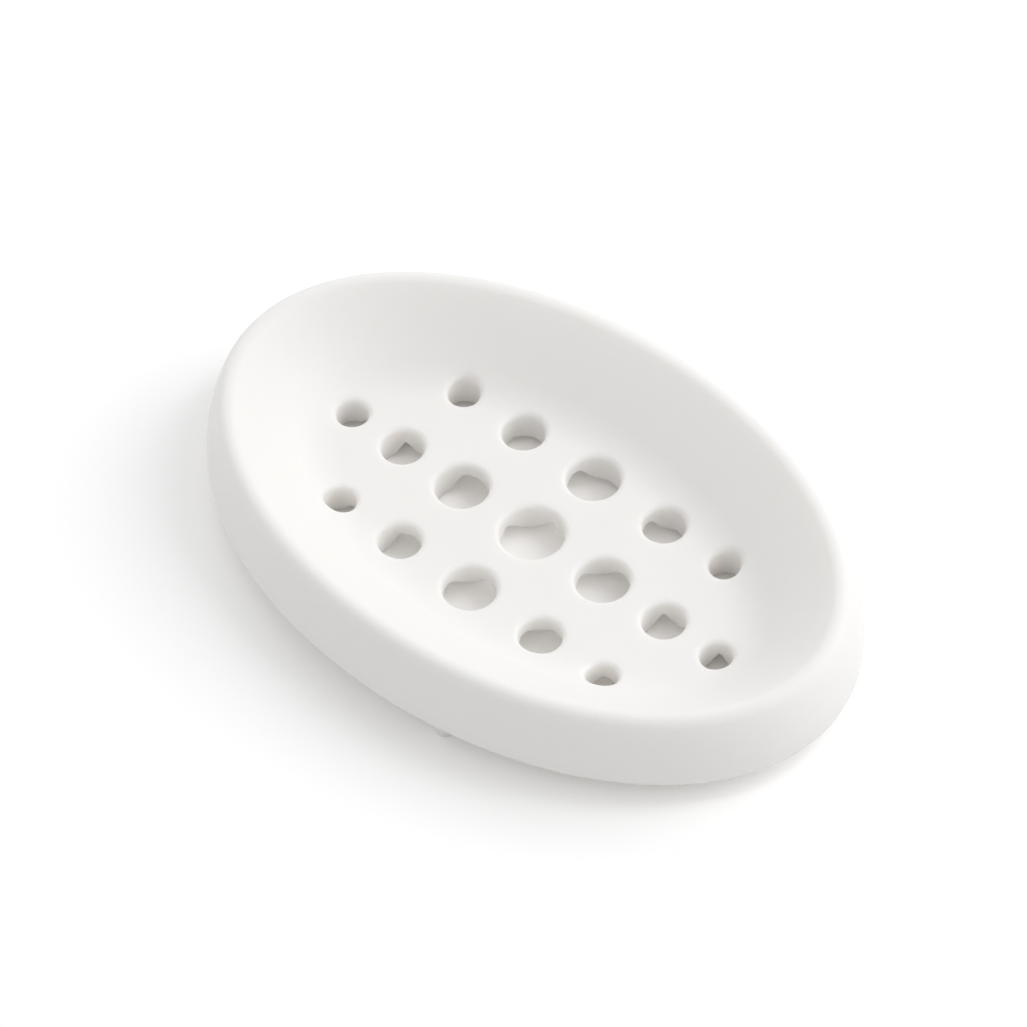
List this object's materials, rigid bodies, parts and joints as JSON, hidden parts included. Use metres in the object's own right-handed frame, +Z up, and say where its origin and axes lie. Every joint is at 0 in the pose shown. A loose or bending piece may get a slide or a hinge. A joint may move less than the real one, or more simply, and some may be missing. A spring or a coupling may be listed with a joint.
{
  "type": "soap dish",
  "caption": "Low oval soap dish with a softly rounded rim, a dished floor with round drain holes of graded sizes, and small feet underneath.",
  "frame": {"origin": "on the standing surface under the middle of the dish", "axes": "+X along the dish, +Y across it to the rear, +Z up out of the bowl"},
  "size_m": [0.138, 0.09, 0.019],
  "materials": {
    "dish_silicone": "matte",
    "foot_silicone": "matte"
  },
  "bodies": {
    "root": {"dish_body": "dish_silicone", "front_foot": "foot_silicone", "right_foot": "foot_silicone", "rear_foot": "foot_silicone", "left_foot": "foot_silicone"}
  },
  "joints": []
}
